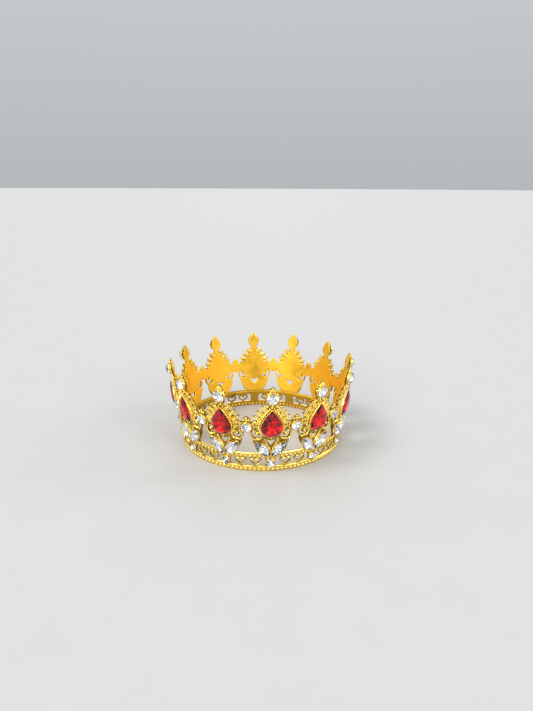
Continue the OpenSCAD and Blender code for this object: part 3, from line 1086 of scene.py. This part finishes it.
    def relief(self) -> list[Patch]:
        """Everything raised on one side of the casting, from the crest down.

        Returns:
            The leaves, wires and bead clusters of the right side.
        """
        slope = self.wall.on_slope
        made = []
        for (bu, bs), (tu, ts) in zip(self.leaf_bases, self.leaf_tips):
            start = (bu + 0.05 * (tu - bu), bs + 0.05 * (ts - bs))
            made.append(self.leaf(start, (tu + 0.1, ts + 0.1), 0.80, 1.2, 0.12))
            made.append(self.granules(start, (tu, ts), 0.78))
        tooth = np.array(self.teeth)
        made.append(bead_string(slope(tooth[:, 0], tooth[:, 1], np.full(4, 0.05)), 0.5, 6, 10))
        made.append(self.leaf((5.5, 18.2), (9.3, 19.0), 0.85, 0.7, 0.2))
        made.append(self.leaf((5.6, 16.6), (8.3, 16.9), 0.8, 0.65, -0.15, 2.5))
        made.append(self.leaf((8.3, 18.0), (8.1, 15.3), 0.5, 0.5, 0.25, 2.5))
        made.append(self.scroll_wire())
        t = np.linspace(0, 1, 16)
        along, bow = t[:, None], np.sin(math.pi * t)[:, None]
        ends = np.minimum(1, np.minimum(6 * (1.001 - t), 9 * (t + 0.001)))
        rib = np.array([3.5, 10.3]) + along * np.array([-3.25, -6.6]) + bow * np.array([0.15, -0.25])
        made.append(laid(ribbon(rib, 0.55 * ends ** 0.5, 0.75, 0.0, 0.4), slope))
        shoulder = np.array([5.0, 10.3]) + along * np.array([3.55, -1.5]) + bow * np.array([0.1, 0.35])
        taper = np.sin(math.pi * (0.06 + 0.88 * t))
        made.append(laid(ribbon(shoulder, 0.5 * taper, 0.6, 0.0, 0.4), slope))
        return made

    def granules(self, start: tuple[float, float], end: tuple[float, float], half: float) -> Patch:
        """Small beads down both edges of a leaf, spaced evenly and drawn in towards its tip.

        Args:
            start: Where the leaf starts.
            end: Where it ends.
            half: Half its width.

        Returns:
            The beads.
        """
        a = np.array([0.18, 0.40, 0.62, 0.82])
        first, way = np.array(start), np.array(end) - np.array(start)
        side = np.array([-way[1], way[0]]) / np.linalg.norm(way)
        away = half * (1.05 - 0.55 * a ** 2)
        places = np.concatenate([first + a[:, None] * way + sign * away[:, None] * side for sign in (-1, 1)])
        return bead_string(self.wall.on_slope(places[:, 0], places[:, 1], np.tile(0.3 - 0.2 * a, 2)),
                           np.tile(0.46 - 0.14 * a, 2), 5, 8)

    def scroll_wire(self) -> Patch:
        """The scroll's wire: it comes down from the arm, runs round the outside of the opening and curls in to
        a ball. Over its second half the radius shrinks as a power of the turn."""
        t = np.linspace(0, 1, 44)
        turn = np.radians(78) - t * np.radians(400)
        r = self.scroll_r - 0.45 - 1.75 * np.clip((t - 0.5) / 0.5, 0, 1) ** 1.1
        path = np.stack([self.scroll[0] + r * np.cos(turn), self.scroll[1] + r * np.sin(turn)], axis=1)
        half = 0.48 * np.minimum(1, 8 * (1.002 - t)) ** 0.5 * np.minimum(1, 10 * t + 0.02) ** 0.5
        return laid(ribbon(path, half, 0.75, 0.0, 0.45), self.wall.on_slope)

    def granulation(self) -> Patch:
        """Small beads that crowd round the pear cup, evenly spaced along its outline, in two sizes by turns."""
        size = self.size
        ring = widened(pear(size.pear_len, size.pear_wid, 176), 0.98)
        steps = np.hypot(*(np.roll(ring, -1, axis=0) - ring).T)
        along = np.concatenate([[0], np.cumsum(steps)])
        at = along[-1] * (np.arange(42) + 0.5) / 42
        u = np.interp(at, along, np.append(ring[:, 0], ring[0, 0]))
        s = np.interp(at, along, np.append(ring[:, 1], ring[0, 1])) + size.pear_s
        radius = np.where(np.arange(42) % 2 == 0, 0.48, 0.38)
        kept = (s > 12.0) & (s < 26.6)
        return bead_string(self.wall.on_slope(u[kept], s[kept], np.full(kept.sum(), 0.45)), radius[kept], 5, 8)

    def bead_places(self) -> tuple[Array, Array]:
        """Places and radii of the beads on the right side: the curl's ball, the clusters beside the pear cup
        and the neck's bead."""
        spots = np.array([[6.95, 12.75, 0.35, 0.78], [5.55, 14.9, 0.35, 0.52], [6.2, 15.6, 0.35, 0.45],
                          [4.85, 13.7, 0.35, 0.50], [4.2, 12.7, 0.3, 0.45], [1.95, 27.75, 0.1, 0.55],
                          [3.05, 9.75, 0.35, 0.45], [8.75, 14.6, 0.25, 0.42], [7.25, 17.7, 0.4, 0.4],
                          [6.3, 19.4, 0.3, 0.4], [4.4, 21.2, 0.1, 0.36], [2.5, 23.4, 0.1, 0.34]])
        return self.wall.on_slope(spots[:, 0], spots[:, 1], spots[:, 2]), spots[:, 3]

    def crest(self, seat: Seat) -> list[Patch]:
        """The crest's own relief: petals round the stone's upper half and a three-lobed tip."""
        size = self.size
        made = []
        for angle in np.radians([14, 42, 68]):
            start = (2.75 * math.cos(angle), 2.75 * math.sin(angle))
            end = (3.4875 * math.cos(angle), 3.9 * math.sin(angle))
            made.append(self.leaf(start, end, 0.72, 0.75, 0.0, 1.5, seat.place))
        made = both_sides(made)
        top = size.tip_s - size.crest_s
        made.append(self.leaf((0, 2.7), (0, top - 0.1), 0.95, 0.85, 0.0, 2.5, seat.place))
        lobes = np.array([[0.0, top - 0.75, 0.1, 0.62], [0.85, top - 1.5, 0.15, 0.55],
                          [-0.85, top - 1.5, 0.15, 0.55]])
        made.append(bead_string(seat.place(lobes[:, 0], lobes[:, 1], lobes[:, 2]), lobes[:, 3], 6, 10))
        return made

    def gold(self) -> Patch:
        """The whole casting in gold."""
        wall, size = self.wall, self.size
        plate = Plate(self.outline, self.front, self.back, (-11.2, 1.3, 11.2, 38.1), 0.2).build(wall.on_slope)
        parts = [plate, *both_sides(self.relief())]
        places, radii = self.bead_places()
        parts += both_sides([bead_string(places, radii, 6, 10)])
        parts.append(self.granulation())
        middle = np.array([[0.0, 8.75, 0.35, 0.5], [0.0, 10.35, 0.35, 0.55], [0.0, 27.3, 0.2, 0.62],
                           [0.0, 28.35, 0.2, 0.5], [0.85, 28.5, 0.1, 0.42], [-0.85, 28.5, 0.1, 0.42],
                           [1.0, 26.5, 0.1, 0.4], [-1.0, 26.5, 0.1, 0.4]])
        parts.append(bead_string(wall.on_slope(middle[:, 0], middle[:, 1], middle[:, 2]), middle[:, 3], 6, 10))
        stem = np.linspace(0, 1, 10)[:, None] * np.array([0.0, -2.4]) + np.array([0.0, 3.9])
        parts.append(laid(ribbon(stem, 0.5, 0.85, 0.0, 0.4), wall.on_slope))
        pear_seat = wall.seat_on_slope(0, size.pear_s)
        pear_edge = widened(pear(size.pear_len, size.pear_wid, 56), size.stone_swell)
        parts.append(Bezel(pear_edge, 0.46, 1.55).rim(pear_seat))
        crest_seat = wall.seat_on_slope(0, size.crest_s)
        bezel = Bezel(circle(size.crest_d, 36), 0.5, 1.45)
        parts.append(bezel.rim(crest_seat))
        parts += bezel.claws(crest_seat, np.radians([45, 135, 225, 315]), 2.35, size.crest_d / 2)
        parts += self.crest(crest_seat)
        cu, cs = size.navette_place
        seat = wall.seat_on_slope(cu, cs, size.navette_tilt - math.pi / 2)
        leaf_edge = navette(size.navette_len + 0.2, size.navette_wid + 0.2, 40)
        parts += both_sides([Bezel(leaf_edge, 0.44, 1.2).rim(seat)])
        return joined(parts)


@dataclass(frozen=True)
class BridgeCasting:
    """The casting between two points: two short arms, a stone cup and a three-lobed tip. It is drawn at the
    front and turned by half a pitch."""

    wall: Wall
    size: Measures

    def outline(self, u: Array, s: Array) -> Array:
        """Distance from the bridge's outline."""
        size, x = self.size, np.abs(u)
        arms = np.maximum(np.abs(s - 17.05) - 2.05, x - self.wall.cone_radius(s) * size.bridge_half
                          / self.wall.cone_radius(size.bridge_s))
        d = blended(arms, disc(x, s, 0, size.bridge_s, size.bridge_d / 2 + 0.5), 0.5)
        tip = blended(disc(x, s, 0, 20.9, 1.05), bar(x, s, (0, 19.0), (1.15, 20.1), 1.0, 0.75), 0.4)
        return blended(d, tip, 0.4)

    def front(self, u: Array, s: Array, depth: Array) -> Array:
        """Height of the front: rounded over at the edge and sunk under the stone, but level at the joints."""
        near_joint = np.abs(u) > 3.2
        height = -0.42 * (1 - np.sqrt(1 - (1 - np.minimum(depth / 0.42, 1)) ** 2))
        height = np.where(near_joint & (np.abs(s - 17.05) < 1.6), 0.0, height)
        return np.where(disc(u, s, 0, self.size.bridge_s, self.size.bridge_d / 2 - 0.1) < 0, -0.74, height)

    def back(self, u: Array, s: Array, depth: Array) -> Array:
        """Height of the back: flat, with a soft edge."""
        return -self.wall.thick + 0.18 * (1 - np.minimum(depth / 0.3, 1)) ** 2 * (np.abs(u) < 3.2)

    def gold(self) -> Patch:
        """The whole bridge in gold."""
        wall, size = self.wall, self.size
        parts = [Plate(self.outline, self.front, self.back, (-4.4, 13.0, 4.4, 22.4), 0.2).build(wall.on_slope)]
        seat = wall.seat_on_slope(0, size.bridge_s)
        bezel = Bezel(circle(size.bridge_d, 36), 0.5, 1.2)
        parts.append(bezel.rim(seat))
        parts += bezel.claws(seat, np.radians([45, 135, 225, 315]), 1.9, size.bridge_d / 2)
        casting = PointCasting(wall, size)
        parts += both_sides([casting.leaf((2.7, 17.0), (4.0, 18.6), 0.6, 0.55, 0.1, 2.5)])
        parts.append(casting.leaf((0, 19.3), (0, 22.0), 0.8, 0.75, 0.0, 2.5))
        spots = np.array([[1.2, 20.1, 0.1, 0.62], [2.9, 18.2, 0.2, 0.42], [3.4, 15.6, 0.2, 0.4]])
        places = wall.on_slope(spots[:, 0], spots[:, 1], spots[:, 2])
        parts += both_sides([bead_string(places, spots[:, 3], 6, 10)])
        top = wall.on_slope(np.array([0.0]), np.array([21.3]), np.array([0.15]))
        parts.append(bead_string(top, 0.55, 6, 10))
        return joined(parts).turned(wall.pitch / 2)


@dataclass(frozen=True)
class FretBand:
    """The band: fretwork of hearts and stone plates between two bead rows."""

    wall: Wall
    size: Measures
    low: float = 2.75
    high: float = 7.3
    beads: int = 10

    def heart(self) -> Array:
        """A heart: its width is a sine cubed, and its height a sum of four cosines."""
        t = 2 * math.pi * np.arange(48) / 48
        wide = np.sin(t) ** 3
        tall = (13 * np.cos(t) - 5 * np.cos(2 * t) - 2 * np.cos(3 * t) - np.cos(4 * t)) / 16
        return np.stack([2.7 * wide, 5.15 + 2.05 * tall], axis=1)

    def outline(self, u: Array, z: Array) -> Array:
        """Distance from the fretwork: the solid strips, the stone's plate with hollow sides, the hearts' wires
        and short struts between them, repeated at every point."""
        wide = self.wall.radius * self.wall.pitch
        x = np.abs((u + wide / 2) % wide - wide / 2)
        third = wide / 3
        strips = np.minimum(z - self.low, self.high - z)
        plate = x - (2.25 + 0.75 * ((z - 4.7) / 2.3) ** 2)
        heart = np.abs(loop(x - third, z, self.heart())) - 0.42
        drop = bar(x, z, (third, 7.4), (third, 6.2), 0.6, 0.35)
        struts = bar(x, z, (third - 2.1, 7.4), (third - 1.9, 6.6), 0.5, 0.4)
        struts = np.minimum(struts, bar(x, z, (third + 2.1, 7.4), (third + 1.9, 6.6), 0.5, 0.4))
        d = blended(np.minimum(strips, plate), heart, 0.35)
        d = blended(d, np.minimum(drop, struts), 0.3)
        return np.maximum(d, np.maximum(-z, z - self.wall.top_z))

    def front(self, u: Array, z: Array, depth: Array) -> Array:
        """Height of the front: the wires are rounded over, and the strips are level."""
        height = -0.4 * (1 - np.sqrt(1 - (1 - np.minimum(depth / 0.4, 1)) ** 2))
        wide = self.wall.radius * self.wall.pitch
        x = (u + wide / 2) % wide - wide / 2
        sunk = np.hypot(x, z - self.size.band_z) < self.size.band_d / 2 - 0.1
        return np.where(sunk, -0.6, np.where((z < 0.3) | (z > self.wall.top_z - 0.2), 0.0, height))

    def back(self, u: Array, z: Array, depth: Array) -> Array:
        """Height of the back: flat, and thinner towards the band's lip."""
        lip = np.clip((z - 8.7) / 1.2, 0, 1)
        return -self.wall.thick + 0.1 * (1 - np.minimum(depth / 0.25, 1)) ** 2 + 0.45 * lip ** 2

    def rail(self, low: float, high: float, proud: float) -> Patch:
        """A smooth rim that runs round the band: a rounded section carried round the wall."""
        middle, half = (low + high) / 2, (high - low) / 2
        arc = 2 * math.pi * self.wall.radius * np.arange(360) / 360
        turn = 2 * math.pi * np.arange(10) / 10
        z = middle + half * np.sign(np.cos(turn)) * np.abs(np.cos(turn)) ** 0.7
        w = np.where(np.sin(turn) > 0, proud * np.abs(np.sin(turn)) ** 0.7, -0.4 * np.abs(np.sin(turn)))
        grid_u = np.broadcast_to(arc[:, None], (360, 10))
        grid_z, grid_w = np.broadcast_to(z, (360, 10)), np.broadcast_to(w, (360, 10))
        return woven(self.wall.on_band(grid_u, grid_z, grid_w), True)

    def bead_row(self, z: float, radius: float, proud: float) -> Patch:
        """A row of beads, ten between two points."""
        count = self.beads * self.wall.count
        arc = 2 * math.pi * self.wall.radius * (np.arange(count) + 0.5) / count
        places = self.wall.on_band(arc, np.full(count, z), np.full(count, proud))
        return bead_string(places, radius, 6, 10)

    def fretwork(self) -> Patch:
        """The pierced wall of the band."""
        box = (0, 0, 2 * math.pi * self.wall.radius, self.wall.top_z)
        # The front gets painted shade at a share of 0.45 on its level face, and the back at 0.62.
        plate = Plate(self.outline, self.front, self.back, box, 0.22, 0.45, 0.62, ring=True)
        return plate.build(self.wall.on_band)

    def trim(self) -> Patch:
        """What stands on the fretwork: rims, bead rows, hearts and the stones' cups."""
        wall, size = self.wall, self.size
        parts = [self.rail(1.85, 2.75, 0.5), self.rail(9.0, 9.9, 0.45),
                 self.bead_row(0.97, 0.96, -0.3), self.bead_row(8.1, 0.82, -0.12)]
        third = wall.radius * wall.pitch / 3
        grid = ribbon(self.heart(), 0.4, 0.42, 0.0, 0.3, closed=True, sides=8)
        heart = laid(grid + np.array([third, 0, 0]), wall.on_band, wrap_first=True)
        drop = np.stack([np.full(7, third), np.linspace(7.3, 5.9, 7)], axis=1)
        swell = 0.42 * np.sin(math.pi * np.linspace(0.2, 1, 7)) ** 0.6
        hearts = both_sides([heart, laid(ribbon(drop, swell, 0.45), wall.on_band)])
        parts += [h.turned(k * wall.pitch) for k in range(wall.count) for h in hearts]
        seat = wall.seat_on_band(size.band_z)
        bezel = Bezel(circle(size.band_d, 28), 0.5, 0.75)
        claws = bezel.claws(seat, np.radians([45, 135, 225, 315]), 1.1, size.band_d / 2)
        cup = joined([bezel.rim(seat), *claws])
        parts += [cup.turned(k * wall.pitch) for k in range(wall.count)]
        return joined(parts)


@dataclass(frozen=True)
class Stones:
    """All the crown's stones."""

    wall: Wall
    size: Measures

    def dress(self, finishes: Finishes) -> None:
        """Cuts and seats every stone.

        Args:
            finishes: The crown's finishes.
        """
        wall, size = self.wall, self.size
        numbered = ("01", "12")
        pear_edge = widened(pear(size.pear_len, size.pear_wid, 24), size.stone_swell)
        pear_cut = Cut(pear_edge, 3.1, 1.8, -0.66, culet=(0.0, -1.6))
        StoneKind("pear_stone", pear_cut, red=True).dress([wall.seat_on_slope(0, size.pear_s)], wall, finishes,
                                                         numbered)
        cu, cs = size.navette_place
        tilt = size.navette_tilt - math.pi / 2
        seats = [wall.seat_on_slope(cu, cs, tilt), wall.seat_on_slope(-cu, cs, -tilt)]
        leaf_cut = Cut(navette(size.navette_len + 0.2, size.navette_wid + 0.2, 16), 2.25, 1.3, -0.66)
        StoneKind("navette_pair", leaf_cut).dress(seats, wall, finishes, numbered)
        crest_cut = Cut(circle(size.crest_d, 16), 3.0, 1.75, -0.66)
        StoneKind("crest_stones", crest_cut).dress([wall.seat_on_slope(0, size.crest_s)], wall, finishes,
                                                   ["crest_stones"])
        bridge_cut = Cut(circle(size.bridge_d, 16), 2.4, 1.4, -0.66)
        centre = wall.seat_on_slope(0, size.bridge_s)
        half = wall.pitch / 2
        turn = np.array([[math.cos(half), math.sin(half), 0], [-math.sin(half), math.cos(half), 0], [0, 0, 1]])
        turned = Seat(centre.origin @ turn, centre.across @ turn, centre.up @ turn, centre.out @ turn)
        StoneKind("bridge_stones", bridge_cut).dress([turned], wall, finishes, ["bridge_stones"])
        band_cut = Cut(circle(size.band_d, 16), 1.4, 0.7, -0.52)
        StoneKind("band_stones", band_cut).dress([wall.seat_on_band(size.band_z)], wall, finishes,
                                                 ["band_stones"])


@dataclass(frozen=True)
class Crown:
    """The whole crown."""

    wall: Wall = Wall()
    size: Measures = Measures()

    def build(self, finishes: Finishes) -> None:
        """Builds and dresses every piece.

        Args:
            finishes: The crown's finishes.
        """
        band = FretBand(self.wall, self.size)
        piece("fret_band_wall", mesh_of("band_wall", band.fretwork()), finishes.gold, ["fret_band"])
        piece("fret_band_trim", mesh_of("band_trim", band.trim()), finishes.gold, ["fret_band"])
        point = mesh_of("point", PointCasting(self.wall, self.size).gold())
        ring_of("point_casting", point, finishes.gold, "point", self.wall)
        bridge = mesh_of("bridge", BridgeCasting(self.wall, self.size).gold())
        ring_of("bridge_casting", bridge, finishes.gold, "bridge", self.wall)
        Stones(self.wall, self.size).dress(finishes)


# ---------------------------------------------------------------- the studio


@dataclass(frozen=True)
class Studio:
    """A pale floor, soft lights and the camera."""

    distance: float = 0.312
    elevation: float = math.radians(25.42)
    azimuth: float = math.radians(-6.01)
    yaw: float = math.radians(6.54)
    pitch: float = math.radians(-17.38)
    roll: float = math.radians(0.27)
    lens: float = 27.79
    horizon: tuple[float, float, float] = (0.46, 0.485, 0.50)
    overhead: tuple[float, float, float] = (0.82, 0.85, 0.88)

    def camera(self) -> None:
        """Places the camera by its distance and direction from the crown's foot, and aims it by its own
        angles."""
        data = bpy.data.cameras.new("camera")
        data.lens, data.clip_start, data.clip_end = self.lens, 0.005, 20
        made = bpy.data.objects.new("camera", data)
        bpy.context.scene.collection.objects.link(made)
        level = self.distance * math.cos(self.elevation)
        made.location = (level * math.sin(self.azimuth), -level * math.cos(self.azimuth),
                         self.distance * math.sin(self.elevation))
        aim = Vector((math.sin(self.yaw) * math.cos(self.pitch), math.cos(self.yaw) * math.cos(self.pitch),
                      math.sin(self.pitch)))
        made.rotation_euler = (aim.to_track_quat("-Z", "Y").to_matrix().to_4x4()
                               @ Matrix.Rotation(self.roll, 4, "Z")).to_euler()
        bpy.context.scene.camera = made

    def lamp(self, name: str, way: tuple[float, float, float], power: float, spread: float,
             colour: tuple[float, float, float] = (1, 1, 1)) -> None:
        """A soft light from far away, so that the floor is lit evenly.

        Args:
            name: Its name.
            way: The direction in which it hangs, from the crown.
            power: Its strength.
            spread: Its width, as an angle in degrees.
            colour: Its colour.
        """
        data = bpy.data.lights.new(name, "SUN")
        data.angle, data.energy, data.color = math.radians(spread), power, colour
        made = bpy.data.objects.new(name, data)
        made.location = way
        made.rotation_euler = (-Vector(way)).to_track_quat("-Z", "Y").to_euler()
        bpy.context.scene.collection.objects.link(made)

    def floor(self) -> None:
        """A wide round floor: rings of quads about a middle face."""
        far, steps = np.array([0.3, 1.0, 4.0, 16.0]), 48
        turn = 2 * math.pi * np.arange(steps) / steps
        places = np.stack([far[:, None] * np.cos(turn), far[:, None] * np.sin(turn),
                           np.full((len(far), steps), -0.00002)], axis=-1)
        index = np.arange(len(far) * steps).reshape(len(far), steps)
        here, after = index, np.roll(index, -1, axis=1)
        quads = np.stack([here[:-1], here[1:], after[1:], after[:-1]], axis=-1).reshape(-1, 4)
        mesh = bpy.data.meshes.new("floor")
        mesh.from_pydata(places.reshape(-1, 3).tolist(), [], [*quads.tolist(), index[0].tolist()])
        mesh.materials.append(PaleFloor().material())
        made = bpy.data.objects.new("floor", mesh)
        bpy.context.scene.collection.objects.link(made)

    def sky(self) -> None:
        """Even studio light from all round, dimmer at the horizon than overhead."""
        world = bpy.data.worlds.new("studio")
        net = Net(world)
        way = net.node("ShaderNodeTexCoord", out="Generated")
        rise = net.node("ShaderNodeSeparateXYZ", out="Z", Vector=way)
        tone = net.mix(rise.held(), (*self.horizon, 1), (*self.overhead, 1))
        shader = net.node("ShaderNodeBackground", Color=tone, Strength=1.0)
        output = net.tree.nodes.new("ShaderNodeOutputWorld")
        net.tree.links.new(shader.socket, output.inputs["Surface"])
        bpy.context.scene.world = world

    def build(self) -> None:
        """Sets up the camera, the lights and the floor."""
        self.camera()
        self.floor()
        self.sky()
        self.lamp("key", (-0.55, -0.10, 0.75), 1.35, 28, (1.0, 0.98, 0.96))
        self.lamp("front_left", (-0.50, -0.72, 0.38), 0.95, 24, (1.0, 0.99, 0.97))
        self.lamp("front_right", (0.55, -0.70, 0.40), 0.80, 24, (1.0, 0.99, 0.97))
        self.lamp("side", (0.85, 0.05, 0.35), 0.55, 21, (0.97, 0.98, 1.0))
        self.lamp("back", (0.10, 0.80, 0.60), 0.22, 22)
        bpy.context.scene.view_settings.view_transform = "Standard"


def main() -> None:
    """Builds the studio and the crown."""
    logging.basicConfig(level=logging.INFO, format="%(message)s")
    Studio().build()
    Crown().build(Finishes())


if __name__ == "__main__":
    main()
